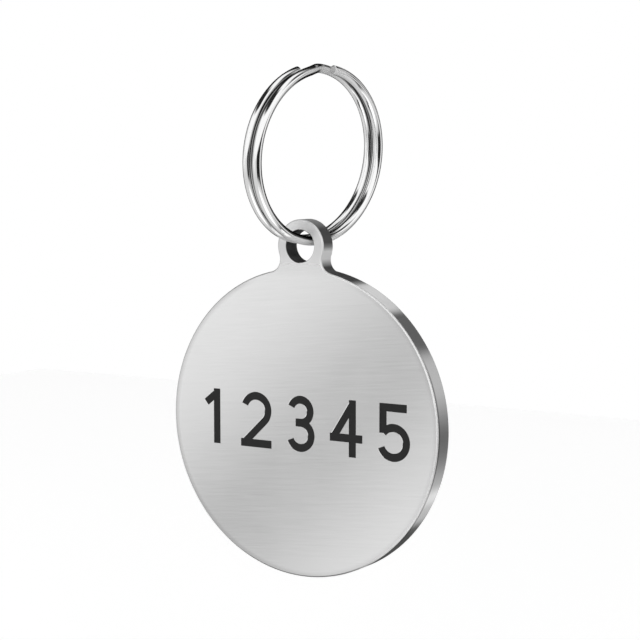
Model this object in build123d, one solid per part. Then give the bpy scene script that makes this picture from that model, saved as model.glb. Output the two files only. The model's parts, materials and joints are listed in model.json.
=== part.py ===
from build123d import *
import math
import os

# A round steel tag that hangs by its ear from a split ring.
# The origin is the middle of the ring, +Z is up and the tag's face looks along -Y.
# Lengths are in millimetres and angles in degrees.

# Tag plate
disc_diameter = 32.0
disc_thickness = 2.4
ear_thickness = 2.0  # flush with the disc's face, so it stops short of the disc's back
hole_above_rim = 2.3  # from the disc's rim up to the middle of the ear's hole
ear_wall = 1.1  # metal left round the hole
neck_fillet = 1.35  # hollow corners where the ear meets the disc
edge_break = 0.15  # chamfer round the plate's faces
hole_edge_break = 0.05  # chamfer round the hole

# Split ring
ring_outside_diameter = 18.4
wire_diameter = 0.95
coil_gap = 0.42  # clear space between the two turns
rear_end_angle = -17.5  # free end of the rear turn, from the ring's top towards the back
front_end_angle = 5.0  # free end of the front turn, from the ring's top towards the back
wire_end_break = 0.12  # chamfer round the cut ends

# How the tag hangs from the ring
ring_yaw = 12.5  # the ring's axis, turned from the tag's width towards its face
ring_lean = 6.0  # the ring's top, leaning over the tag's right side
wire_seat_height = 0.6  # the wires' middle above the middle of the hole
hole_play = 0.02  # clear space between the wires and the hole's wall

# Engraved figures and their enamel
figures = "12345"
figure_height = 5.8
figure_gap = 1.7  # between two figures
figure_margin = 2.8  # from the row's corners to the disc's rim
stroke_width = 0.78
engraving_depth = 0.3
enamel_sink = 0.05  # the enamel's surface below the face
bowl_tip_angle = 158.0  # open end of a bowl, turned from its right side
flag_reach = 1.4  # tip of the 1's flag, left of its stem
flag_drop = 1.5  # tip of the 1's flag, below the figure's top
waist_rise = 0.12  # where the 3's bowls meet, above the figure's middle
waist_reach = 0.55  # the 3's waist, left of its bowls
bar_drop = 1.0  # the 4's bar, below the figure's middle
bar_reach = 1.15  # right end of the 4's bar, past its stem
shoulder_angle = 142.0  # where the 5's bowl leaves its stem, turned from its right side

# Sizes worked out from those above
quarter_turn = 90
full_turn = 360
disc_radius = disc_diameter / 2
wire_radius = wire_diameter / 2
turn_radius = (ring_outside_diameter - wire_diameter) / 2
coil_pitch = wire_diameter + coil_gap
hole_height = disc_radius + hole_above_rim
figure_count = len(figures)
row_width = 2 * math.sqrt((disc_radius - figure_margin) ** 2 - (figure_height / 2) ** 2)
figure_width = (row_width - (figure_count - 1) * figure_gap) / figure_count
figure_spacing = figure_width + figure_gap

# The wires slant through the hole, so they come nearest to its wall where the chamfers begin.
yaw = math.radians(ring_yaw)
ear_forward = (disc_thickness - ear_thickness) / 2  # the ear's middle, in front of the disc's
half_land = ear_thickness / 2 - hole_edge_break
wire_across = coil_pitch / 2 / math.cos(yaw) + half_land * math.tan(yaw)
wire_run = (half_land + ear_forward) / math.cos(yaw)
wire_rise = turn_radius - math.sqrt(turn_radius**2 - wire_run**2)
slanted_wire_radius = wire_radius / math.cos(yaw)
hole_radius = math.hypot(wire_across, wire_seat_height + wire_rise) + slanted_wire_radius + hole_play
ear_radius = hole_radius + ear_wall

# The ring's own plane: X towards the back, Y up and Z along the ring's axis, on the tag's right.
ring_plane = Plane(Rot(Y=ring_lean) * Rot(Z=-ring_yaw) * Plane.YZ.location)
hole_center = ring_plane.y_dir * -(turn_radius + wire_seat_height)
hole_center -= ring_plane.x_dir * (ear_forward / ring_plane.x_dir.Y)
disc_center = hole_center + Vector(0, ear_forward, -hole_height)
tag_plane = Plane(origin=disc_center, x_dir=(1, 0, 0), z_dir=(0, -1, 0))
face_height = disc_thickness / 2  # the face, in front of the disc's middle


def blank_plate():
    # A sheet with the outline of disc and ear, and the rest of the disc behind it.
    outline = Circle(disc_radius) + Pos(0, hole_height) * Circle(ear_radius)
    neck_corners = outline.vertices().filter_by_position(
        Axis.Y, 0, hole_height, inclusive=(False, False)
    )
    outline = fillet(neck_corners, neck_fillet)
    sheet = extrude(Pos(0, 0, face_height) * outline, -ear_thickness)
    sheet = chamfer(sheet.faces().filter_by(Axis.Z).edges(), edge_break)
    backing = extrude(Circle(disc_radius), -disc_thickness / 2)
    backing = chamfer(backing.faces().sort_by(Axis.Z).first.edges(), edge_break)
    return sheet + backing


def drill_ear(plate):
    plate -= Pos(0, hole_height) * Cylinder(hole_radius, 2 * disc_thickness)
    hole_edges = plate.edges().filter_by(
        lambda edge: edge.geom_type == GeomType.CIRCLE and math.isclose(edge.radius, hole_radius)
    )
    return chamfer(hole_edges, hole_edge_break)


# Each figure is a list of strokes, each stroke a list of joined lines and arcs, about the figure's middle.
top = figure_height / 2
side = figure_width / 2
half_stroke = stroke_width / 2
line_top = top - half_stroke
line_side = side - half_stroke


def figure_one():
    stem_x = (flag_reach - half_stroke) / 2
    flag_tip = (stem_x - flag_reach, top - flag_drop)
    return [
        [Line((stem_x, -top), (stem_x, top))],
        [Line(flag_tip, (stem_x, line_top))],
    ]


def figure_two():
    # The bowl runs on into a straight line to the foot, which touches it.
    bowl = line_side
    bowl_y = line_top - bowl
    foot = Vector(-line_side, -line_top)
    to_bowl = Vector(0, bowl_y) - foot
    slope = math.atan2(to_bowl.Y, to_bowl.X) - math.asin(bowl / to_bowl.length)
    run = math.sqrt(to_bowl.length**2 - bowl**2)
    touch = foot + Vector(math.cos(slope), math.sin(slope)) * run
    bowl_sweep = math.degrees(slope) - quarter_turn - bowl_tip_angle
    return [
        [CenterArc((0, bowl_y), bowl, bowl_tip_angle, bowl_sweep), Line(touch, foot)],
        [Line((-side, -line_top), (side, -line_top))],
    ]


def figure_three():
    upper = (line_top - waist_rise) / 2
    lower = (line_top + waist_rise) / 2
    bowl_sweep = bowl_tip_angle + quarter_turn
    return [
        [CenterArc((0, waist_rise + upper), upper, bowl_tip_angle, -bowl_sweep)],
        [CenterArc((0, waist_rise - lower), lower, quarter_turn, -bowl_sweep)],
        [Line((-waist_reach, waist_rise), (0, waist_rise))],
    ]


def figure_four():
    stem_x = side - bar_reach
    return [
        [Line((stem_x, -top), (stem_x, top))],
        [Line((-side, -bar_drop), (side, -bar_drop))],
        [Line((-line_side, -bar_drop), (stem_x, line_top))],
    ]


def figure_five():
    bowl = line_side
    bowl_y = bowl - line_top
    shoulder = math.radians(shoulder_angle)
    stem_x = bowl * math.cos(shoulder)
    stem_foot = bowl_y + bowl * math.sin(shoulder)
    return [
        [Line((stem_x - half_stroke, line_top), (line_side, line_top))],
        [Line((stem_x, top), (stem_x, stem_foot))],
        [CenterArc((0, bowl_y), bowl, shoulder_angle, -shoulder_angle - bowl_tip_angle)],
    ]


figure_strokes = {
    "1": figure_one,
    "2": figure_two,
    "3": figure_three,
    "4": figure_four,
    "5": figure_five,
}


def figure_face(figure):
    face = Sketch()
    for stroke in figure_strokes[figure]():
        face += trace(stroke, stroke_width)
    return face


def figure_faces():
    first_x = -figure_spacing * (figure_count - 1) / 2
    faces = []
    for place, figure in enumerate(figures):
        spot = Pos(first_x + place * figure_spacing, 0, face_height)
        faces.append(spot * figure_face(figure))
    return faces


def coil_point(angle, turn_side):
    turned = math.radians(angle)
    return Vector(
        turn_radius * math.sin(turned), turn_radius * math.cos(turned), turn_side * coil_pitch / 2
    )


def coil_heading(angle):
    turned = math.radians(angle)
    return Vector(-math.cos(turned), math.sin(turned), 0)


def flat_turn(start_angle, end_angle, turn_side):
    # One turn in its own plane, as equal arcs of about a quarter turn.
    arc_count = round(abs(end_angle - start_angle) / quarter_turn)
    arc_angle = (end_angle - start_angle) / arc_count
    arcs = []
    for step in range(arc_count):
        arc_start = start_angle + step * arc_angle
        stops = [coil_point(arc_start + arc_angle * share, turn_side) for share in (0, 0.5, 1)]
        arcs.append(ThreePointArc(*stops))
    return arcs


def crossover(start_angle, end_angle):
    # Two arcs that meet smoothly half-way and carry the wire from the rear turn to the front one.
    # The tangents at the two ends are equally long, and the line between their tips touches both arcs.
    start = coil_point(start_angle, -1)
    end = coil_point(end_angle, 1)
    start_heading = coil_heading(start_angle)
    end_heading = coil_heading(end_angle)
    span = end - start
    both = start_heading + end_heading
    a = both.dot(both) - 4
    b = -2 * span.dot(both)
    c = span.dot(span)
    reach = (-b - math.sqrt(b * b - 4 * a * c)) / (2 * a)
    middle = (start + start_heading * reach + end - end_heading * reach) / 2
    first = TangentArc(start, middle, tangent=start_heading)
    second = TangentArc(middle, end, tangent=first % 1)
    return [first, second]


def ring_path():
    crossover_start = front_end_angle - full_turn
    crossover_end = rear_end_angle - full_turn
    edges = flat_turn(rear_end_angle, crossover_start, -1)
    edges += crossover(crossover_start, crossover_end)
    edges += flat_turn(crossover_end, front_end_angle - 2 * full_turn, 1)
    return Wire(edges)


def split_ring(path):
    section = Plane(path @ 0, z_dir=path % 0) * Circle(wire_radius)
    ring = sweep(section, path, clean=False)
    end_edges = ring.faces().filter_by(GeomType.PLANE).edges()
    return chamfer(end_edges, wire_end_break)


def least_gap(path):
    # The nearest that the wire's surface comes to itself, away from where it runs on.
    point_count = 720
    points = [path @ (step / point_count) for step in range(point_count + 1)]
    half_turn = round(point_count * math.pi * turn_radius / path.length)
    nearest = min(
        (points[first] - points[second]).length
        for first in range(point_count + 1)
        for second in range(first + half_turn, point_count + 1)
    )
    return nearest - wire_diameter


os.makedirs("parts", exist_ok=True)

faces = figure_faces()
plate = drill_ear(blank_plate())
for face in faces:
    plate -= extrude(face, -engraving_depth)
plate = tag_plane * plate
export_step(plate, "parts/tag_plate.step")

for number, face in enumerate(faces, start=1):
    enamel = Pos(0, 0, -engraving_depth) * extrude(face, engraving_depth - enamel_sink)
    export_step(tag_plane * enamel, f"parts/enamel_figure_{number}.step")

path = ring_path()
ring = ring_plane * split_ring(path)
export_step(ring, "parts/split_ring.step")

print(f"ear hole {2 * hole_radius:.3f} mm across, ear {2 * ear_radius:.3f} mm across")
print(f"ear hole's middle at {hole_center.X:.4f}, {hole_center.Y:.4f}, {hole_center.Z:.4f}")
print(f"ring axis {ring_plane.z_dir.X:.6f}, {ring_plane.z_dir.Y:.6f}, {ring_plane.z_dir.Z:.6f}")
print(f"wire {path.length:.2f} mm long, volume {ring.volume:.3f}")
print(f"wire's section times its length {math.pi * wire_radius**2 * path.length:.3f}")
print(f"least gap of the wire to itself {least_gap(path):.3f} mm")
print(f"clear space between the ring and the plate {ring.distance_to(plate):.4f} mm")
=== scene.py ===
import json
import math

import bmesh
import bpy
from mathutils import Matrix, Vector


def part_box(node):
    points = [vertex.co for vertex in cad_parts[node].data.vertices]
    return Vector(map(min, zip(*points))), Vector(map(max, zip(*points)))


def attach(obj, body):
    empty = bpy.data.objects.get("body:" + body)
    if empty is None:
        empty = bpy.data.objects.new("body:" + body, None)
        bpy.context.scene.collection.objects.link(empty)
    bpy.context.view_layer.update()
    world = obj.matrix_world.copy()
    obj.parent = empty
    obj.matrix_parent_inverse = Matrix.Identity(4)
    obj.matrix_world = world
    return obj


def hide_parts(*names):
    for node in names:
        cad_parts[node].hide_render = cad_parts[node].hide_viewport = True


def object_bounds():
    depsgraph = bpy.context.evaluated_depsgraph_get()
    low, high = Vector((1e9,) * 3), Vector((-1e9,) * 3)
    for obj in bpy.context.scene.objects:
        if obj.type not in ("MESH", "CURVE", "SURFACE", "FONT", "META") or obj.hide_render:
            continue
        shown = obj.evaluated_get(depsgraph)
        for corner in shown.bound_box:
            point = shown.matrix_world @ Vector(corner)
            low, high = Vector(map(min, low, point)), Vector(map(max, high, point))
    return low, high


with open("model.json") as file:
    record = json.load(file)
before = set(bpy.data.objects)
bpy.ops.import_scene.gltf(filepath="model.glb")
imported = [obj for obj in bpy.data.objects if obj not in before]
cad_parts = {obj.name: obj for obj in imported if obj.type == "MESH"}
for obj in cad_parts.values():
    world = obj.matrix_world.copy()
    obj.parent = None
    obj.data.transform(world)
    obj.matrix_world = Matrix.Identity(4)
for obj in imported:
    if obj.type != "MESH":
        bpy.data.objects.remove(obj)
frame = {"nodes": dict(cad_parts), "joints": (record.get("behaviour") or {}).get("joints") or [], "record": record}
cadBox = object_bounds()
scene = bpy.context.scene
fullTurn = 2 * math.pi
quarterTurn = math.pi / 2
print("frame loaded:", ", ".join(sorted(frame["nodes"])))


# node helpers

def feed(tree, value, socket):
    if isinstance(value, bpy.types.NodeSocket):
        tree.links.new(value, socket)
    else:
        socket.default_value = value


def addNode(tree, kind, inputs=None, **settings):
    node = tree.nodes.new(kind)
    for name, value in settings.items():
        setattr(node, name, value)
    for name, value in (inputs or {}).items():
        feed(tree, value, node.inputs[name])
    return node


def calc(tree, operation, *values):
    return addNode(tree, "ShaderNodeMath", dict(enumerate(values)), operation=operation).outputs[0]


def product(tree, result, *others):
    for other in others:
        result = calc(tree, "MULTIPLY", result, other)
    return result


def negative(tree, value):
    return calc(tree, "MULTIPLY", value, -1.0)


def vectorCalc(tree, operation, *vectors):
    return addNode(tree, "ShaderNodeVectorMath", dict(enumerate(vectors)), operation=operation).outputs


def dot(tree, first, second):
    return vectorCalc(tree, "DOT_PRODUCT", first, second)["Value"]


def splitUp(tree, vector):
    return addNode(tree, "ShaderNodeSeparateXYZ", {0: vector}).outputs


def joinUp(tree, x, y, z):
    return addNode(tree, "ShaderNodeCombineXYZ", {0: x, 1: y, 2: z}).outputs[0]


def partsFrom(tree, place, point):
    # how far a place lies from a point along X, Y and Z
    return splitUp(tree, vectorCalc(tree, "SUBTRACT", place, tuple(point))["Vector"])


def turnAboutY(tree, vector, angle):
    inputs = {"Vector": vector, "Axis": (0.0, 1.0, 0.0), "Angle": angle}
    return addNode(tree, "ShaderNodeVectorRotate", inputs).outputs[0]


def ramp(tree, value, low, high, start=0.0, end=1.0, curve="SMOOTHSTEP"):
    # value from low..high to start..end, held at both ends
    inputs = {"Value": value, "From Min": low, "From Max": high, "To Min": start, "To Max": end}
    return addNode(tree, "ShaderNodeMapRange", inputs, interpolation_type=curve).outputs["Result"]


def fade(tree, value, low, high):
    return ramp(tree, value, low, high, 1.0, 0.0)


def mixColour(tree, share, first, second):
    node = addNode(tree, "ShaderNodeMix", data_type="RGBA")
    for value, socket in zip((share, first, second), [s for s in node.inputs if s.enabled]):
        feed(tree, value, socket)
    return next(s for s in node.outputs if s.enabled)


def mixValue(tree, share, first, second):
    return addNode(tree, "ShaderNodeMix", {0: share, 2: first, 3: second}).outputs[0]


def addBump(tree, height, strength, distance):
    inputs = {"Height": height, "Strength": strength, "Distance": distance}
    return addNode(tree, "ShaderNodeBump", inputs).outputs[0]


def objectPlace(tree):
    return addNode(tree, "ShaderNodeTexCoord").outputs["Object"]


def newGroup(name, kind, inputs, outputs):
    # inputs: label -> (socket type, default); outputs: label -> socket type
    tree = bpy.data.node_groups.new(name, kind)
    for label, (socketType, default) in inputs.items():
        socket = tree.interface.new_socket(label, in_out="INPUT", socket_type=socketType)
        if default is not None:
            socket.default_value = default
    for label, socketType in outputs.items():
        tree.interface.new_socket(label, in_out="OUTPUT", socket_type=socketType)
    return tree, tree.nodes.new("NodeGroupInput").outputs, tree.nodes.new("NodeGroupOutput").inputs


def useGroup(tree, group, inputs):
    return addNode(tree, "ShaderNodeGroup", inputs, node_tree=group).outputs


def grey(level):
    return (level, level, level, 1.0)


def newMaterial(name):
    material = bpy.data.materials.new(name)
    material.use_nodes = True
    tree = material.node_tree
    return material, tree, tree.nodes["Principled BSDF"].inputs


# finishes that several materials share

brushing = {
    "fineDetail": 3.0,
    "bandDetail": 2.0,
    "bandLength": 2.0,  # times a line's length
    "bandWidth": 3.0,  # times a line's width
    "bandShare": 0.3,
    "contrast": (0.32, 0.68),
}
handling = {
    "smudgeDetail": 2.0,
    "smudges": (0.38, 0.66),  # noise between which a smudge sets in
    "scratchTurn": math.radians(33.0),
    "scratches": (0.76, 0.82),
}


def stretchedNoise(tree, place, along, across, detail):
    sizes = (along, across, across)
    shares = [calc(tree, "DIVIDE", part, size) for part, size in zip(splitUp(tree, place), sizes)]
    inputs = {"Vector": joinUp(tree, *shares), "Scale": 1.0, "Detail": detail}
    return addNode(tree, "ShaderNodeTexNoise", inputs).outputs[0]


def makeBrushLines():
    # fine lines along Place's X, with broader bands among them
    tree, source, sink = newGroup(
        "brushLines",
        "ShaderNodeTree",
        {
            "Place": ("NodeSocketVector", None),
            "Line Length": ("NodeSocketFloat", 0.005),
            "Line Width": ("NodeSocketFloat", 0.00005),
        },
        {"Lines": "NodeSocketFloat"},
    )
    place = source["Place"]
    fine = stretchedNoise(tree, place, source["Line Length"], source["Line Width"], brushing["fineDetail"])
    bandLength = calc(tree, "MULTIPLY", source["Line Length"], brushing["bandLength"])
    bandWidth = calc(tree, "MULTIPLY", source["Line Width"], brushing["bandWidth"])
    bands = stretchedNoise(tree, place, bandLength, bandWidth, brushing["bandDetail"])
    both = mixValue(tree, brushing["bandShare"], fine, bands)
    feed(tree, ramp(tree, both, *brushing["contrast"], curve="LINEAR"), sink["Lines"])
    return tree


def makeHandlingWear():
    # soft smudges, and a few thin scratches that slant to Place's X
    tree, source, sink = newGroup(
        "handlingWear",
        "ShaderNodeTree",
        {
            "Place": ("NodeSocketVector", None),
            "Smudge Size": ("NodeSocketFloat", 0.004),
            "Scratch Length": ("NodeSocketFloat", 0.004),
            "Scratch Width": ("NodeSocketFloat", 0.00006),
        },
        {"Smudge": "NodeSocketFloat", "Scratch": "NodeSocketFloat"},
    )
    size = source["Smudge Size"]
    smudge = stretchedNoise(tree, source["Place"], size, size, handling["smudgeDetail"])
    feed(tree, ramp(tree, smudge, *handling["smudges"]), sink["Smudge"])
    turned = turnAboutY(tree, source["Place"], handling["scratchTurn"])
    scratch = stretchedNoise(tree, turned, source["Scratch Length"], source["Scratch Width"], 0.0)
    feed(tree, ramp(tree, scratch, *handling["scratches"]), sink["Scratch"])
    return tree


brushLines = makeBrushLines()
handlingWear = makeHandlingWear()


def brushedWith(tree, place, look):
    sizes = {"Line Length": look["lineLength"], "Line Width": look["lineWidth"]}
    return useGroup(tree, brushLines, {"Place": place, **sizes})["Lines"]


def wornWith(tree, place, look):
    sizes = {"Smudge Size": look["smudgeSize"]}
    if "scratchLength" in look:
        sizes["Scratch Length"] = look["scratchLength"]
    return useGroup(tree, handlingWear, {"Place": place, **sizes})


def roughen(tree, share, amount, polish):
    return calc(tree, "MULTIPLY_ADD", share, amount, polish)


# pieces

weldDistance = 1e-7


def loopRow(mesh, points, depth):
    return [mesh.verts.new((p.x, depth, p.y)) for p in points]


def bridgeRows(mesh, rows, materialIndex, smooth):
    for row, nextRow in zip(rows, rows[1:]):
        for k in range(len(row)):
            after = (k + 1) % len(row)
            face = mesh.faces.new((row[k], row[after], nextRow[after], nextRow[k]))
            face.material_index = materialIndex
            face.smooth = smooth


def openEdges(mesh, depth):
    return [
        edge
        for edge in mesh.edges
        if edge.is_boundary and all(abs(v.co.y - depth) < weldDistance for v in edge.verts)
    ]


def fillLevel(mesh, edges):
    bmesh.ops.triangle_fill(mesh, edges=edges, use_beauty=True)


def dressPiece(name, data, body, node, materials):
    for material in materials:
        data.materials.append(material)
    piece = bpy.data.objects.new(name, data)
    scene.collection.objects.link(piece)
    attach(piece, body)
    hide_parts(node)
    return piece


def newPiece(name, mesh, body, node, materials):
    data = bpy.data.meshes.new(name)
    bmesh.ops.recalc_face_normals(mesh, faces=mesh.faces)
    mesh.to_mesh(data)
    mesh.free()
    return dressPiece(name, data, body, node, materials)


# outlines of the engraved figures

def leftOf(step):
    return Vector((-step.y, step.x)).normalized()


def offsetLoop(points, distance):
    # a closed line moved to its left
    moved = []
    for before, here, after in zip(points[-1:] + points[:-1], points, points[1:] + points[:1]):
        first = leftOf(here - before)
        second = leftOf(after - here)
        moved.append(here + (first + second) * distance / (1 + first.dot(second)))
    return moved


def loopArea(points):
    return sum(a.x * b.y - b.x * a.y for a, b in zip(points, points[1:] + points[:1])) / 2


def figureLoops(node):
    # outlines of a packed figure's front, each with the enamel on its left
    copy = bmesh.new()
    copy.from_mesh(node.data)
    bmesh.ops.remove_doubles(copy, verts=copy.verts, dist=weldDistance)
    front = min(v.co.y for v in copy.verts)
    faces = {f for f in copy.faces if all(v.co.y - front < weldDistance for v in f.verts)}
    follows = {}
    for face in faces:
        for corner in face.loops:
            if sum(f in faces for f in corner.edge.link_faces) == 1:
                follows[corner.vert] = corner.link_loop_next.vert
    loops = []
    while follows:
        vert, nextVert = follows.popitem()
        points = [vert.co.xz]
        while nextVert in follows:
            points.append(nextVert.co.xz)
            nextVert = follows.pop(nextVert)
        loops.append(points)
    copy.free()
    return loops


figureNodes = sorted(name for name in frame["nodes"] if name.startswith("enamel_figure"))
outlines = {name: figureLoops(frame["nodes"][name]) for name in figureNodes}


# tag plate

plate = {
    "node": "tag_plate",
    "body": "tag",
    "slot": "plate_steel",
    "earThickness": 0.002,  # flush with the disc's face
    "earWall": 0.0011,  # metal left round the hole
    "neckFillet": 0.00135,
    "edgeRound": 0.00015,
    "edgeGrowth": 1.3,  # roundings clear of the disc at which the ear's rear edge is fully rounded
    "holeRound": 0.0001,
    "roundSteps": 5,
    "roundEnd": 0.00003,  # flat strip that keeps a rounding's shading off the wall
    "stepLength": 0.00015,  # along the outline
    "pocketDepth": 0.0003,
    "pocketBevel": 0.00003,
    "leftToRight": (-0.006, 0.004),  # across the disc, where the finish and painted shade of its left side become its right side's
}
faceIndex, edgeIndex, rimIndex, holeIndex = range(4)  # material slots of the plate

plateLow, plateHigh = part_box(plate["node"])
discRadius = (plateHigh.x - plateLow.x) / 2
discCentre = Vector(((plateLow.x + plateHigh.x) / 2, plateLow.z + discRadius))
holeCentre = Vector(frame["joints"][0]["pos_m"]).xz
earRadius = plateHigh.z - holeCentre.y
holeRadius = earRadius - plate["earWall"]
earBack = plateLow.y + plate["earThickness"]

steelLook = {
    "dark": 0.75,
    "light": 0.80,
    "scratch": 0.8,
    "lineLength": 0.004,
    "lineWidth": 0.00007,
    "lineTilt": math.radians(5.6),
    "lineHeight": 0.000000015,
    "lineStrength": 0.5,
    "polish": (0.14, 0.155),  # roughness between the lines and on them
    "smudgeSize": 0.004,
    "smudgeDullness": 0.01,  # added to the roughness
    "rubbed": (-0.0036, 0.0),  # beside the hole, and above it, where the second is a painted light against the ring's shadow
    "rubbedAndPaintedLightLevels": (0.79, 0.97),  # beside the hole and above it
    "rubbedTop": (0.0, 0.0018),  # heights from the hole over which the second takes over
    "rubbedDullness": 0.25,
    "rubbedMetal": 0.4,
    "border": (0.0153, 0.0159),  # distances from the disc's middle over which the painted shade of the border sets in
    "paintedBorderShade": (0.20, 0.11),  # how much, on the left and on the right
    "borderTop": (0.0138, 0.0150),  # heights over which the border ends at the neck
}


def paintedBorderShade(tree, place, centre):
    # painted shade along the disc's border, stronger on the left
    part = partsFrom(tree, place, centre)
    reach = vectorCalc(tree, "LENGTH", joinUp(tree, part[0], 0.0, part[2]))["Value"]
    return product(
        tree,
        ramp(tree, reach, *steelLook["border"]),
        fade(tree, part[2], *steelLook["borderTop"]),
        ramp(tree, part[0], *plate["leftToRight"], *steelLook["paintedBorderShade"]),
    )


def makeSteelFace(hole, centre):
    # hairlines run nearly level, the ring has rubbed the ear, painted light brightens the ear above the hole
    # against the ring's shadow, and painted shade darkens the disc's border
    material, tree, shader = newMaterial("brushedSteelFace")
    place = objectPlace(tree)
    lines = brushedWith(tree, turnAboutY(tree, place, steelLook["lineTilt"]), steelLook)
    wear = wornWith(tree, place, steelLook)
    aboveHole = partsFrom(tree, place, hole)[2]
    rubbed = ramp(tree, aboveHole, *steelLook["rubbed"])
    # painted light: the ear above the hole is lifted against the ring's shadow
    rubbedAndPaintedLight = ramp(tree, aboveHole, *steelLook["rubbedTop"], *steelLook["rubbedAndPaintedLightLevels"])
    metal = mixColour(tree, lines, grey(steelLook["dark"]), grey(steelLook["light"]))
    metal = mixColour(tree, wear["Scratch"], metal, grey(steelLook["scratch"]))
    metal = mixColour(tree, paintedBorderShade(tree, place, centre), metal, grey(0.0))
    feed(tree, mixColour(tree, rubbed, metal, rubbedAndPaintedLight), shader["Base Color"])
    polish = mixValue(tree, lines, *steelLook["polish"])
    polish = roughen(tree, rubbed, steelLook["rubbedDullness"], polish)
    polish = roughen(tree, wear["Smudge"], steelLook["smudgeDullness"], polish)
    feed(tree, polish, shader["Roughness"])
    feed(tree, mixValue(tree, rubbed, 1.0, steelLook["rubbedMetal"]), shader["Metallic"])
    bump = addBump(tree, lines, steelLook["lineStrength"], steelLook["lineHeight"])
    feed(tree, bump, shader["Normal"])
    return material


edgeLook = {
    # the near-white levels are a painted highlight along the edge; left and foot are painted shade
    "level": 0.98,
    "smudged": 0.93,
    "left": 0.55,
    "foot": 0.25,
    "footRise": (-0.0153, -0.0125),  # heights above the disc's middle over which the painted shade at the foot ends
    "smudgeSize": 0.002,
    "roughness": 0.34,
    "smudgeDullness": 0.06,
    "metal": (0.7, 0.4),  # on the left and on the right
}


def makeSteelEdge(centre):
    # the rounding between face and rim, a painted highlight near white, with painted shade on its left and at its
    # foot
    material, tree, shader = newMaterial("paintedHighlightSteelEdge")
    place = objectPlace(tree)
    wear = wornWith(tree, place, edgeLook)
    part = partsFrom(tree, place, centre)
    right = ramp(tree, part[0], *plate["leftToRight"])
    aboveFoot = ramp(tree, part[2], *edgeLook["footRise"])
    shade = mixColour(tree, wear["Smudge"], grey(edgeLook["level"]), grey(edgeLook["smudged"]))
    shade = mixColour(tree, right, grey(edgeLook["left"]), shade)
    feed(tree, mixColour(tree, aboveFoot, grey(edgeLook["foot"]), shade), shader["Base Color"])
    polish = roughen(tree, wear["Smudge"], edgeLook["smudgeDullness"], edgeLook["roughness"])
    feed(tree, polish, shader["Roughness"])
    feed(tree, mixValue(tree, right, *edgeLook["metal"]), shader["Metallic"])
    return material


rimLook = {
    "dark": 0.72,
    "light": 0.76,
    "lineLength": 0.004,
    "lineWidth": 0.00007,
    "polish": (0.08, 0.12),
    "smudgeSize": 0.003,
    "smudgeDullness": 0.05,
    "paintedLip": (0.0003, 0.00055),  # depths over which the painted shade on the lip behind the rounding ends
    "paintedLipShade": 0.6,
    "lipTop": (0.005, 0.009),  # heights above the disc's middle over which the lip ends
    "dullStart": (0.0145, 0.0150),  # heights above the disc's middle where the dull neck and ear begin
    "dullness": 0.36,  # added to the roughness
    "dullMetal": 0.1,
}
# height above the disc's middle -> grey of the dull neck and ear, light and dark bands that are painted
# reflections
earPaintedReflectionBands = {
    0.0145: 0.06,
    0.0162: 0.07,
    0.0167: 0.55,
    0.0171: 1.00,
    0.0178: 1.00,
    0.0183: 0.27,
    0.0187: 0.075,
    0.0201: 0.08,
    0.0207: 0.30,
    0.0211: 0.50,
}


def shadeByHeight(tree, height, shades):
    low = min(shades)
    high = max(shades)
    node = addNode(tree, "ShaderNodeValToRGB", {"Fac": ramp(tree, height, low, high, curve="LINEAR")})
    elements = node.color_ramp.elements
    elements.remove(elements[1])
    elements[0].color = grey(shades[low])
    for place, level in shades.items():
        if place > low:
            elements.new((place - low) / (high - low)).color = grey(level)
    return node.outputs["Color"]


def makeSteelRim(centre):
    # shear marks run through the plate's thickness, the neck and ear are dull with painted reflection bands by
    # height, and painted shade darkens the lip behind the rounding
    material, tree, shader = newMaterial("blankedSteelRim")
    place = objectPlace(tree)
    part = partsFrom(tree, place, centre)
    lines = brushedWith(tree, joinUp(tree, part[1], part[0], part[2]), rimLook)
    wear = wornWith(tree, place, rimLook)
    dull = ramp(tree, part[2], *rimLook["dullStart"])
    metal = mixColour(tree, lines, grey(rimLook["dark"]), grey(rimLook["light"]))
    metal = mixColour(tree, dull, metal, shadeByHeight(tree, part[2], earPaintedReflectionBands))
    # painted shade on the lip just behind the rounding
    paintedLip = ramp(tree, part[1], *rimLook["paintedLip"], rimLook["paintedLipShade"], 0.0)
    paintedLip = product(tree, paintedLip, fade(tree, part[2], *rimLook["lipTop"]))
    feed(tree, mixColour(tree, paintedLip, metal, grey(0.0)), shader["Base Color"])
    polish = mixValue(tree, lines, *rimLook["polish"])
    polish = roughen(tree, dull, rimLook["dullness"], polish)
    polish = roughen(tree, wear["Smudge"], rimLook["smudgeDullness"], polish)
    feed(tree, polish, shader["Roughness"])
    feed(tree, mixValue(tree, dull, 1.0, rimLook["dullMetal"]), shader["Metallic"])
    return material


holeLook = {
    "metal": 0.74,
    # grey of the painted shade in the hole
    "paintedShade": 0.05,
    "smudgedPaintedShade": 0.035,
    "smudgeSize": 0.0006,
    "roughness": 0.16,
    "paintedShadeDullness": 0.35,
    "paintedShadeMetal": 0.5,
    "paintedShadeEdge": (-0.0002, 0.0003),  # distances to the left of the hole's middle over which the painted shade begins
}


def makeHoleWall(centre):
    # the wires rub the right of the wall bright, and painted shade darkens its left
    material, tree, shader = newMaterial("darkHoleWall")
    place = objectPlace(tree)
    wear = wornWith(tree, place, holeLook)
    leftward = negative(tree, partsFrom(tree, place, centre)[0])
    paintedShade = ramp(tree, leftward, *holeLook["paintedShadeEdge"])
    dirt = mixColour(tree, wear["Smudge"], grey(holeLook["paintedShade"]), grey(holeLook["smudgedPaintedShade"]))
    feed(tree, mixColour(tree, paintedShade, grey(holeLook["metal"]), dirt), shader["Base Color"])
    feed(tree, roughen(tree, paintedShade, holeLook["paintedShadeDullness"], holeLook["roughness"]), shader["Roughness"])
    feed(tree, mixValue(tree, paintedShade, 1.0, holeLook["paintedShadeMetal"]), shader["Metallic"])
    return material


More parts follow.
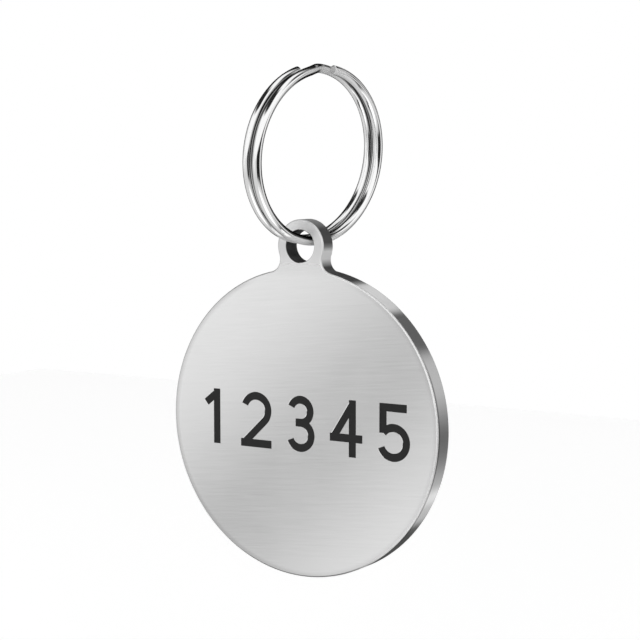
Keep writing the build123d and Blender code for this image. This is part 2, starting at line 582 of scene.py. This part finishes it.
def arcSamples(centre, radius, start, end, bulge):
    # bulge is 1 where the metal lies inside the arc, -1 where it lies outside
    count = math.ceil(abs(end - start) * radius / plate["stepLength"])
    return [(centre, radius, start + (end - start) * k / count, bulge) for k in range(count)]


def samplePoint(sample, inset):
    centre, radius, angle, bulge = sample
    return centre + Vector((math.cos(angle), math.sin(angle))) * (radius - bulge * inset)


def plateOutline():
    # the ear with its hollow fillets, the disc's rim, and the part of the rim behind the ear
    fillet = plate["neckFillet"]
    rise = holeCentre.y - discCentre.y
    toDisc = discRadius + fillet
    toEar = earRadius + fillet
    filletUp = (toDisc**2 - toEar**2 + rise**2) / (2 * rise)
    filletOut = math.sqrt(toDisc**2 - filletUp**2)
    onDisc = math.atan2(filletUp, filletOut)
    onEar = math.atan2(filletUp - rise, filletOut)
    rightFillet = discCentre + Vector((filletOut, filletUp))
    leftFillet = discCentre + Vector((-filletOut, filletUp))
    ear = arcSamples(rightFillet, fillet, math.pi + onDisc, math.pi + onEar, -1)
    ear += arcSamples(holeCentre, earRadius, onEar, math.pi - onEar, 1)
    ear += arcSamples(leftFillet, fillet, -onEar, -onDisc, -1)
    rim = arcSamples(discCentre, discRadius, math.pi - onDisc, fullTurn + onDisc, 1)
    behind = arcSamples(discCentre, discRadius, onDisc, math.pi - onDisc, 1)
    return ear, rim, behind


def cornerProfile(reach):
    # (inset, depth) from a face round to the wall
    turns = [quarterTurn * k / plate["roundSteps"] for k in range(plate["roundSteps"] + 1)]
    corner = [(reach * (1 - math.sin(a)), reach * (1 - math.cos(a))) for a in turns]
    return corner + [(0, reach + plate["roundEnd"])]


def clearOfDisc(sample):
    # 0 on the disc's rim, 1 where the ear's edge stands clear of it
    clear = (samplePoint(sample, 0) - discCentre).length - discRadius
    return min(1.0, max(0.0, clear) / (plate["edgeGrowth"] * plate["edgeRound"]))


def wallRow(mesh, samples, insets, depth):
    return loopRow(mesh, [samplePoint(sample, inset) for sample, inset in zip(samples, insets)], depth)


def frontRows(mesh, samples, reach, depth):
    return [
        wallRow(mesh, samples, [inset] * len(samples), depth + drop)
        for inset, drop in cornerProfile(reach)
    ]


def backRows(mesh, samples, reach, depth, shares):
    return [
        wallRow(mesh, samples, [inset * share for share in shares], depth - drop)
        for inset, drop in reversed(cornerProfile(reach))
    ]


def addRim(mesh):
    reach = plate["edgeRound"]
    ear, rim, behind = plateOutline()
    outline = ear + rim
    rows = frontRows(mesh, outline, reach, plateLow.y)
    rows += backRows(mesh, outline, reach, earBack, [clearOfDisc(sample) for sample in outline])
    wallStart = plate["roundSteps"] + 1
    bridgeRows(mesh, rows[: wallStart + 1], edgeIndex, True)
    bridgeRows(mesh, rows[wallStart:], rimIndex, True)
    # the disc goes on behind the ear
    behindRow = wallRow(mesh, behind[1:], [0] * len(behind), earBack)
    whole = rim + behind
    rows = [rows[-1][len(ear):] + rows[-1][:1] + behindRow]
    rows += backRows(mesh, whole, reach, plateHigh.y, [1] * len(whole))
    bridgeRows(mesh, rows, rimIndex, True)


def addHole(mesh):
    reach = plate["holeRound"]
    samples = arcSamples(holeCentre, holeRadius, 0, fullTurn, -1)
    rows = frontRows(mesh, samples, reach, plateLow.y)
    rows += backRows(mesh, samples, reach, earBack, [1] * len(samples))
    bridgeRows(mesh, rows, holeIndex, True)


def addPocket(mesh, loops):
    bevel = plate["pocketBevel"]
    for points in loops:
        rows = [
            loopRow(mesh, offsetLoop(points, -bevel), plateLow.y),
            loopRow(mesh, points, plateLow.y + bevel),
            loopRow(mesh, points, plateLow.y + plate["pocketDepth"]),
        ]
        bridgeRows(mesh, rows, faceIndex, False)
        if loopArea(points) < 0:  # metal left standing inside the figure
            fillLevel(mesh, [mesh.edges.get(pair) for pair in zip(rows[0], rows[0][1:] + rows[0][:1])])


def makePlate():
    mesh = bmesh.new()
    addRim(mesh)
    addHole(mesh)
    for loops in outlines.values():
        addPocket(mesh, loops)
    for depth in (plateLow.y, plateLow.y + plate["pocketDepth"], earBack, plateHigh.y):
        fillLevel(mesh, openEdges(mesh, depth))
    holePoint = (holeCentre.x, plateLow.y, holeCentre.y)
    discPoint = (discCentre.x, plateLow.y, discCentre.y)
    materials = [
        makeSteelFace(holePoint, discPoint),
        makeSteelEdge(discPoint),
        makeSteelRim(discPoint),
        makeHoleWall(holePoint),
    ]
    return newPiece("tagPlate", mesh, plate["body"], plate["node"], materials)


tagPlate = makePlate()
print("plate:", len(tagPlate.data.polygons), "faces")


# enamel in the engraved figures

enamel = {
    "body": "tag",
    "slot": "figure_enamel",
    "edgeWidth": 0.00009,
    "dip": 0.00003,
    "black": 0.012,
    "worn": 0.022,
    "smudgeShare": 0.5,  # of the worn colour, where the rest follows the grain
    "grainSize": 0.00012,
    "grainDetail": 2.0,
    "grainHeight": 0.000006,
    "grainStrength": 0.35,
    "smudgeSize": 0.0012,
    "smudgeDullness": 0.12,
    "roughness": 0.45,
    "shine": 0.25,
}


def makeEnamel():
    material, tree, shader = newMaterial("hardBlackEnamel")
    place = objectPlace(tree)
    wear = wornWith(tree, place, enamel)
    grain = stretchedNoise(tree, place, enamel["grainSize"], enamel["grainSize"], enamel["grainDetail"])
    shade = mixValue(tree, enamel["smudgeShare"], grain, wear["Smudge"])
    colour = mixColour(tree, shade, grey(enamel["black"]), grey(enamel["worn"]))
    feed(tree, colour, shader["Base Color"])
    polish = roughen(tree, wear["Smudge"], enamel["smudgeDullness"], enamel["roughness"])
    feed(tree, polish, shader["Roughness"])
    shader["Specular IOR Level"].default_value = enamel["shine"]
    feed(tree, addBump(tree, grain, enamel["grainStrength"], enamel["grainHeight"]), shader["Normal"])
    return material


def makeFigure(name, loops, material):
    # the enamel hollows a little away from the pocket's wall
    mesh = bmesh.new()
    top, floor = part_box(name)
    for points in loops:
        rows = [
            loopRow(mesh, points, floor.y),
            loopRow(mesh, points, top.y),
            loopRow(mesh, offsetLoop(points, enamel["edgeWidth"]), top.y + enamel["dip"]),
        ]
        bridgeRows(mesh, rows, 0, False)
    for depth in (floor.y, top.y + enamel["dip"]):
        fillLevel(mesh, openEdges(mesh, depth))
    number = name.rsplit("_", 1)[1]
    return newPiece("enamelFigure" + number, mesh, enamel["body"], name, [material])


blackEnamel = makeEnamel()
for figureName in figureNodes:
    makeFigure(figureName, outlines[figureName], blackEnamel)
print("enamel figures:", len(figureNodes))


# split ring

wire = {
    "node": "split_ring",
    "body": "split_ring",
    "slot": "ring_wire",
    "outsideDiameter": 0.0184,
    "wireDiameter": 0.00095,
    "coilGap": 0.00042,
    "rearEnd": math.radians(-17.5),  # free ends, from the ring's top towards the back
    "frontEnd": math.radians(5.0),
    "endBreak": 0.00012,
    "pathPoints": 840,
    "sectionPoints": 36,
    "sharpAngle": math.radians(30.0),
}
wireLook = {
    "dark": 0.91,
    "light": 0.97,
    "scratch": 0.7,
    "cut": 0.6,
    "cutDullness": 0.4,  # added to the roughness
    "lineLength": 0.009,
    "lineWidth": 0.00006,
    "polish": (0.05, 0.09),
    "smudgeSize": 0.002,
    "smudgeDullness": 0.03,
    "scratchLength": 0.001,
    "nearerTurn": (-0.0001, 0.0001),  # places along the ring's axis over which the nearer turn begins
    "fartherTurn": (-0.0005, -0.0001),  # and over which the farther one ends
    "crossing": (0.0078, 0.0084),  # heights over which the wire begins to cross from turn to turn
    "seat": (-0.0084, -0.0080),  # heights over which the wire leaves its seat in the ear
    "rubbedTop": (0.25, 0.6),  # upward turn over which the rubbing at the crossing and the seat ends
    "rubbedDullness": 0.35,
    "rubbedMetal": 0.2,
    # grey of the painted shade and painted dark reflections on the wire
    "paintedShade": 0.05,
    "between": (0.70, 0.95),  # turn towards the other turn over which the painted shade between the turns begins
    "betweenRise": (-0.004, 0.0),  # heights over which it grows
    "betweenShares": (0.25, 0.7),  # low and high on the ring
    "inside": (-0.25, 0.05),  # outward turn over which the painted shade on the loop's inside ends
    "archStart": (0.0066, 0.0074),  # heights over which the painted shade inside the arch begins
    "archEnd": (-0.0014, 0.0002),  # where it ends, towards the back
    "footTop": (-0.002, 0.0005),  # heights over which the painted shade low on the inside ends
    "footEnd": (0.0015, 0.003),  # where it ends, towards the back
    "patchStart": (0.001, 0.003),  # where the painted shadow patch on the farther turn begins, towards the back
    "patchEdge": (-0.65, -0.45),  # outward turn over which it begins
    "patchFoot": (0.0002, 0.0012),  # heights over which it begins
    "patchTop": (0.0018, 0.0032),  # and ends
    "patchShare": 0.75,
}


def wirePaintedShadeAndRubbing(tree, axis):
    # where painted shade and painted dark reflections darken the wire, and where rubbing dulls it
    place = objectPlace(tree)
    normal = addNode(tree, "ShaderNodeNewGeometry").outputs["Normal"]
    part = splitUp(tree, place)
    towardsBack = part[1]
    height = part[2]
    aside = dot(tree, place, axis)
    nearer = ramp(tree, aside, *wireLook["nearerTurn"])
    outward = calc(tree, "DIVIDE", dot(tree, normal, place), wire["outsideDiameter"] / 2)
    inside = fade(tree, outward, *wireLook["inside"])
    crossing = ramp(tree, height, *wireLook["crossing"])
    towardsNearer = dot(tree, normal, axis)
    towardsOther = mixValue(tree, nearer, towardsNearer, negative(tree, towardsNearer))
    between = product(
        tree,
        calc(tree, "SUBTRACT", 1.0, crossing),
        ramp(tree, towardsOther, *wireLook["between"]),
        ramp(tree, height, *wireLook["betweenRise"], *wireLook["betweenShares"]),
    )
    arch = product(
        tree,
        inside,
        ramp(tree, height, *wireLook["archStart"]),
        fade(tree, towardsBack, *wireLook["archEnd"]),
        ramp(tree, aside, *wireLook["fartherTurn"]),
    )
    foot = product(
        tree,
        inside,
        fade(tree, height, *wireLook["footTop"]),
        fade(tree, towardsBack, *wireLook["footEnd"]),
        nearer,
    )
    # painted shadow on the farther turn
    patch = product(
        tree,
        ramp(tree, towardsBack, *wireLook["patchStart"]),
        ramp(tree, outward, *wireLook["patchEdge"]),
        fade(tree, aside, *wireLook["fartherTurn"]),
        ramp(tree, height, *wireLook["patchFoot"]),
        fade(tree, height, *wireLook["patchTop"]),
        wireLook["patchShare"],
    )
    paintedShade = between
    for mask in (arch, foot, patch):
        paintedShade = calc(tree, "MAXIMUM", paintedShade, mask)
    touched = calc(tree, "MAXIMUM", fade(tree, height, *wireLook["seat"]), crossing)
    upward = splitUp(tree, normal)[2]
    rubbed = product(tree, touched, fade(tree, upward, *wireLook["rubbedTop"]))
    return paintedShade, rubbed


def makeWireChrome(axis):
    # drawing lines run along the wire, its cut ends are dull, and painted shade darkens it between the turns,
    # inside the arch, low on the inside and in a patch on the farther turn
    material, tree, shader = newMaterial("brightDrawnWire")
    place = addNode(tree, "ShaderNodeAttribute", attribute_name="wirePlace").outputs["Vector"]
    cut = addNode(tree, "ShaderNodeAttribute", attribute_name="wireCut").outputs["Fac"]
    lines = brushedWith(tree, place, wireLook)
    wear = wornWith(tree, place, wireLook)
    paintedShade, rubbed = wirePaintedShadeAndRubbing(tree, axis)
    metal = mixColour(tree, lines, grey(wireLook["dark"]), grey(wireLook["light"]))
    metal = mixColour(tree, wear["Scratch"], metal, grey(wireLook["scratch"]))
    metal = mixColour(tree, cut, metal, grey(wireLook["cut"]))
    feed(tree, mixColour(tree, paintedShade, metal, grey(wireLook["paintedShade"])), shader["Base Color"])
    shader["Specular Tint"].default_value = grey(0.0)
    shader["Specular IOR Level"].default_value = 0.0
    polish = mixValue(tree, lines, *wireLook["polish"])
    polish = roughen(tree, cut, wireLook["cutDullness"], polish)
    polish = roughen(tree, rubbed, wireLook["rubbedDullness"], polish)
    polish = roughen(tree, wear["Smudge"], wireLook["smudgeDullness"], polish)
    feed(tree, polish, shader["Roughness"])
    feed(tree, mixValue(tree, rubbed, 1.0, wireLook["rubbedMetal"]), shader["Metallic"])
    return material


def storeValue(tree, geometry, name, value, dataType="FLOAT"):
    inputs = {"Geometry": geometry, "Name": name, "Value": value}
    return addNode(tree, "GeometryNodeStoreNamedAttribute", inputs, data_type=dataType).outputs[0]


def readValue(tree, name, dataType="FLOAT"):
    return addNode(tree, "GeometryNodeInputNamedAttribute", {"Name": name}, data_type=dataType).outputs[0]


def wirePath(tree, source):
    # each point's place on the wire's middle line, and a mask of its two ends
    index = addNode(tree, "GeometryNodeInputIndex").outputs[0]
    lastPoint = calc(tree, "SUBTRACT", source["Path Points"], 1.0)
    atStart = calc(tree, "LESS_THAN", index, 0.5)
    atEnd = calc(tree, "GREATER_THAN", index, calc(tree, "SUBTRACT", lastPoint, 0.5))
    breakTurn = calc(tree, "DIVIDE", source["End Break"], source["Turn Radius"])
    rearTurnEnd = calc(tree, "SUBTRACT", source["Front End"], fullTurn)
    frontTurnStart = calc(tree, "SUBTRACT", source["Rear End"], fullTurn)
    pathEnd = calc(tree, "SUBTRACT", rearTurnEnd, fullTurn)
    # the first and last points stand one end break before and after an even row
    fromStart = calc(tree, "SUBTRACT", index, 1.0)
    share = ramp(tree, fromStart, 0.0, calc(tree, "SUBTRACT", lastPoint, 2.0), curve="LINEAR")
    evenStart = calc(tree, "SUBTRACT", source["Rear End"], breakTurn)
    evenEnd = calc(tree, "ADD", pathEnd, breakTurn)
    even = mixValue(tree, share, evenStart, evenEnd)
    endShift = calc(tree, "SUBTRACT", atStart, atEnd)
    turn = calc(tree, "MULTIPLY_ADD", endShift, breakTurn, even)
    # the wire winds backwards, so the crossing is mapped with its angles turned round
    turns = [negative(tree, angle) for angle in (turn, rearTurnEnd, frontTurnStart)]
    crossing = ramp(tree, *turns)
    half = calc(tree, "DIVIDE", source["Coil Pitch"], 2.0)
    spot = joinUp(
        tree,
        calc(tree, "MULTIPLY", source["Turn Radius"], calc(tree, "SINE", turn)),
        calc(tree, "MULTIPLY", source["Turn Radius"], calc(tree, "COSINE", turn)),
        mixValue(tree, crossing, negative(tree, half), half),
    )
    return spot, calc(tree, "ADD", atStart, atEnd)


def makeWireTree(sizes, counts):
    # one wire wound twice round, crossing from the rear turn to the front one between its free ends
    inputs = {label: ("NodeSocketFloat", size) for label, size in sizes.items()}
    inputs.update({label: ("NodeSocketInt", count) for label, count in counts.items()})
    inputs["Finish"] = ("NodeSocketMaterial", None)
    outputs = {"Wire": "NodeSocketGeometry"}
    tree, source, sink = newGroup("splitRingWire", "GeometryNodeTree", inputs, outputs)
    spot, atEither = wirePath(tree, source)
    points = addNode(tree, "GeometryNodeMeshLine", {"Count": source["Path Points"]}).outputs[0]
    coil = addNode(tree, "GeometryNodeMeshToCurve", {"Mesh": points}).outputs[0]
    coil = addNode(tree, "GeometryNodeSetPosition", {"Geometry": coil, "Position": spot}).outputs[0]
    circle = {"Resolution": source["Section Points"], "Radius": source["Wire Radius"]}
    section = addNode(tree, "GeometryNodeCurvePrimitiveCircle", circle).outputs[0]
    # place along the wire and round it, for the finish
    run = addNode(tree, "GeometryNodeSplineParameter").outputs["Length"]
    side = addNode(tree, "GeometryNodeInputPosition").outputs[0]
    coil = storeValue(tree, coil, "wireRun", run)
    coil = storeValue(tree, coil, "wireCut", atEither)
    section = storeValue(tree, section, "wireSide", side, "FLOAT_VECTOR")
    drawnIn = calc(tree, "DIVIDE", source["End Break"], source["Wire Radius"])
    scale = calc(tree, "SUBTRACT", 1.0, calc(tree, "MULTIPLY", atEither, drawnIn))
    sweep = {"Curve": coil, "Profile Curve": section, "Scale": scale, "Fill Caps": True}
    tube = addNode(tree, "GeometryNodeCurveToMesh", sweep).outputs[0]
    sidePart = splitUp(tree, readValue(tree, "wireSide", "FLOAT_VECTOR"))
    wirePlace = joinUp(tree, readValue(tree, "wireRun"), sidePart[0], sidePart[1])
    tube = storeValue(tree, tube, "wirePlace", wirePlace, "FLOAT_VECTOR")
    tube = addNode(tree, "GeometryNodeRealizeInstances", {"Geometry": tube}).outputs[0]
    finished = {"Geometry": tube, "Material": source["Finish"]}
    feed(tree, addNode(tree, "GeometryNodeSetMaterial", finished).outputs[0], sink["Wire"])
    return tree


def meshFromTree(tree, values):
    holder = bpy.data.objects.new(tree.name, bpy.data.meshes.new(tree.name))
    scene.collection.objects.link(holder)
    modifier = holder.modifiers.new(tree.name, "NODES")
    modifier.node_group = tree
    for item in tree.interface.items_tree:
        if item.in_out == "INPUT":
            modifier[item.identifier] = values[item.name]
    graph = bpy.context.evaluated_depsgraph_get()
    made = bpy.data.meshes.new_from_object(
        holder.evaluated_get(graph), preserve_all_data_layers=True, depsgraph=graph
    )
    holder.modifiers.remove(modifier)
    bpy.data.objects.remove(holder)
    return made


def makeRing():
    axis = Vector(frame["record"]["mounts"][0]["axis"]).normalized()
    finish = makeWireChrome(axis)
    wireRadius = wire["wireDiameter"] / 2
    sizes = {
        "Turn Radius": wire["outsideDiameter"] / 2 - wireRadius,
        "Wire Radius": wireRadius,
        "Coil Pitch": wire["wireDiameter"] + wire["coilGap"],
        "Rear End": wire["rearEnd"],
        "Front End": wire["frontEnd"],
        "End Break": wire["endBreak"],
    }
    counts = {"Path Points": wire["pathPoints"], "Section Points": wire["sectionPoints"]}
    data = meshFromTree(makeWireTree(sizes, counts), {**sizes, **counts, "Finish": finish})
    data.name = "splitRing"
    # the ring's own axes: towards the back, up, and along its axis
    upward = axis.cross(Vector((0, 1, 0))).normalized()
    backward = upward.cross(axis)
    data.transform(Matrix((backward, upward, axis)).transposed().to_4x4())
    mesh = bmesh.new()
    mesh.from_mesh(data)
    bmesh.ops.recalc_face_normals(mesh, faces=mesh.faces)
    for face in mesh.faces:
        face.smooth = True
    mesh.to_mesh(data)
    mesh.free()
    data.set_sharp_from_angle(angle=wire["sharpAngle"])
    return dressPiece("splitRing", data, wire["body"], wire["node"], [])


splitRing = makeRing()
print("ring:", len(splitRing.data.polygons), "faces")


# studio

studio = {
    "sky": 1.02,
    "ground": 0.7,
    "horizon": (-12.0, -6.0),  # elevations between which the ground becomes sky
    "rearLow": 0.62,
    "rearHigh": 0.02,
    "rearRise": (16.0, 32.0),  # elevations between which the rear darkens
    "rearStart": (122.0, 145.0),  # azimuths between which the light sides become the rear
    "rearTop": (68.0, 82.0),  # elevations between which the rear ends
    "floorDrop": 0.03,  # below the tag
    "floorSize": 0.6,
    "floorGrey": 0.8,
    "floorRoughness": 0.9,
    "floorGlow": 0.6,  # seen by the camera, and lights nothing
}


def card(azimuth, elevation, halfWidth, halfHeight, softness, level, tilt=0.0):
    return {
        "Card Azimuth": azimuth,
        "Card Elevation": elevation,
        "Half Width": halfWidth,
        "Half Height": halfHeight,
        "Softness": softness,
        "Tilt": math.radians(tilt),
    }, level


# angles in degrees: azimuth 0 is in front of the tag and 90 on its right
# a later card lies over an earlier one
cards = {
    "facePanel": card(-32.0, -8.5, 15.0, 11.0, 5.0, 1.03),
    "faceBand": card(-32.0, -9.6, 14.0, 1.9, 2.6, 0.38, 42.0),
    "frontStreak": card(64.0, -13.5, 37.0, 12.5, 4.0, 0.015, 8.0),
    "lowStreak": card(109.0, -37.0, 21.0, 3.0, 3.0, 0.1, 70.0),
    "rightBand": card(126.0, 16.0, 11.0, 20.0, 4.0, 0.06),
    "leftWall": card(-95.0, 12.0, 40.0, 16.0, 8.0, 0.62),
    "leftHigh": card(-105.0, 42.0, 24.0, 15.0, 7.0, 0.06),
    "leftTop": card(-36.0, 57.0, 36.0, 15.0, 5.0, 0.02),
    "rearDark": card(-146.0, 27.0, 42.0, 41.0, 5.0, 0.02),
    "rightHigh": card(122.0, 45.0, 26.0, 16.0, 7.0, 0.04),
    "rimBright": card(-171.5, 28.5, 9.5, 5.0, 3.0, 0.80),
    "rimShade": card(167.0, 26.8, 8.5, 5.3, 2.5, 0.15, 25.0),
    "rimLowShade": card(149.5, -12.5, 12.0, 12.0, 10.0, 0.17),
    "rimLowBright": card(168.3, -29.8, 2.6, 4.0, 2.2, 1.1),
    "rimFoot": card(-161.0, -24.5, 16.0, 7.0, 3.0, 0.08, 25.0),
    "edgeGlow": card(48.0, -58.0, 20.0, 18.0, 6.0, 1.3),
}


def makeStudioCard():
    # 1 on a soft-edged card, 0 beside it
    labels = ["Azimuth", "Elevation", "Card Azimuth", "Card Elevation"]
    labels += ["Half Width", "Half Height", "Softness", "Tilt"]
    tree, source, sink = newGroup(
        "studioCard",
        "ShaderNodeTree",
        {label: ("NodeSocketFloat", 0.0) for label in labels},
        {"Mask": "NodeSocketFloat"},
    )
    aside = calc(tree, "SUBTRACT", source["Azimuth"], source["Card Azimuth"])
    aside = calc(tree, "WRAP", aside, 180.0, -180.0)
    narrowing = calc(tree, "COSINE", calc(tree, "RADIANS", source["Card Elevation"]))
    aside = calc(tree, "MULTIPLY", aside, narrowing)
    above = calc(tree, "SUBTRACT", source["Elevation"], source["Card Elevation"])
    cosine = calc(tree, "COSINE", source["Tilt"])
    sine = calc(tree, "SINE", source["Tilt"])
    along = calc(tree, "ADD", product(tree, aside, cosine), product(tree, above, sine))
    across = calc(tree, "SUBTRACT", product(tree, above, cosine), product(tree, aside, sine))
    masks = []
    for reach, half in ((along, source["Half Width"]), (across, source["Half Height"])):
        outer = calc(tree, "ADD", half, source["Softness"])
        inner = calc(tree, "SUBTRACT", half, source["Softness"])
        beyond = ramp(tree, calc(tree, "ABSOLUTE", reach), inner, outer)
        masks.append(calc(tree, "SUBTRACT", 1.0, beyond))
    feed(tree, product(tree, *masks), sink["Mask"])
    return tree


def makeWorld():
    world = bpy.data.worlds.new("studioWorld")
    scene.world = world
    world.use_nodes = True
    tree = world.node_tree
    part = splitUp(tree, addNode(tree, "ShaderNodeTexCoord").outputs["Generated"])
    azimuth = calc(tree, "DEGREES", calc(tree, "ARCTAN2", part[0], negative(tree, part[1])))
    elevation = calc(tree, "DEGREES", calc(tree, "ARCSINE", part[2]))
    light = ramp(tree, elevation, *studio["horizon"], studio["ground"], studio["sky"])
    rear = ramp(tree, calc(tree, "ABSOLUTE", azimuth), *studio["rearStart"])
    rear = product(tree, rear, fade(tree, elevation, *studio["rearTop"]))
    rearLight = ramp(tree, elevation, *studio["rearRise"], studio["rearLow"], studio["rearHigh"])
    light = mixValue(tree, rear, light, rearLight)
    cardGroup = makeStudioCard()
    for sizes, level in cards.values():
        mask = useGroup(tree, cardGroup, {"Azimuth": azimuth, "Elevation": elevation, **sizes})["Mask"]
        light = mixValue(tree, mask, light, level)
    white = addNode(tree, "ShaderNodeLightPath").outputs["Is Camera Ray"]
    feed(tree, mixColour(tree, white, light, grey(1.0)), tree.nodes["Background"].inputs["Color"])


lamps = {
    "keyLamp": {"place": (-0.25, -0.35, 0.40), "size": 0.30, "watts": 0.35},
    "fillLamp": {"place": (0.40, -0.20, 0.25), "size": 0.30, "watts": 0.15},
}


def addLamp(name, place, size, watts, aim):
    data = bpy.data.lights.new(name, "AREA")
    data.size = size
    data.energy = watts
    lamp = bpy.data.objects.new(name, data)
    lamp.location = place
    lamp.rotation_euler = (Vector(aim) - Vector(place)).to_track_quat("-Z", "Y").to_euler()
    lamp.visible_glossy = False
    scene.collection.objects.link(lamp)


def addFloor():
    half = studio["floorSize"] / 2
    height = cadBox[0].z - studio["floorDrop"]
    data = bpy.data.meshes.new("studioFloor")
    corners = [(x, y, height) for x, y in ((-half, -half), (half, -half), (half, half), (-half, half))]
    data.from_pydata(corners, [], [(0, 1, 2, 3)])
    material, tree, shader = newMaterial("paleFloor")
    shader["Base Color"].default_value = grey(studio["floorGrey"])
    shader["Roughness"].default_value = studio["floorRoughness"]
    shader["Emission Color"].default_value = grey(1.0)
    path = addNode(tree, "ShaderNodeLightPath").outputs
    seen = calc(tree, "MAXIMUM", path["Is Camera Ray"], path["Is Transmission Ray"])
    feed(tree, calc(tree, "MULTIPLY", seen, studio["floorGlow"]), shader["Emission Strength"])
    data.materials.append(material)
    floor = bpy.data.objects.new("studioFloor", data)
    floor.visible_glossy = False
    scene.collection.objects.link(floor)


makeWorld()
middle = (cadBox[0] + cadBox[1]) / 2
for lampName, lampSizes in lamps.items():
    addLamp(lampName, aim=middle, **lampSizes)
addFloor()
print("studio:", len(cards), "cards and", len(lamps), "lamps")


# camera

view = {
    "azimuth": math.radians(31.9),
    "elevation": math.radians(5.5),
    "target": Vector((0.000597, 0.000038, -0.01684)),
    "distance": 0.175,
    "frameHeight": 0.06561,  # what the square picture takes in at the target
    "clip": (0.05, 100.0),  # times the distance
}


def addCamera():
    data = bpy.data.cameras.new("photoCamera")
    data.lens = data.sensor_width * view["distance"] / view["frameHeight"]
    data.clip_start, data.clip_end = [view["distance"] * times for times in view["clip"]]
    camera = bpy.data.objects.new("photoCamera", data)
    level = math.cos(view["elevation"])
    back = Vector(
        (
            math.sin(view["azimuth"]) * level,
            -math.cos(view["azimuth"]) * level,
            math.sin(view["elevation"]),
        )
    )
    camera.location = view["target"] + back * view["distance"]
    camera.rotation_euler = (-back).to_track_quat("-Z", "Y").to_euler()
    scene.collection.objects.link(camera)
    scene.camera = camera


addCamera()
scene.view_settings.view_transform = "Standard"
print("camera set")
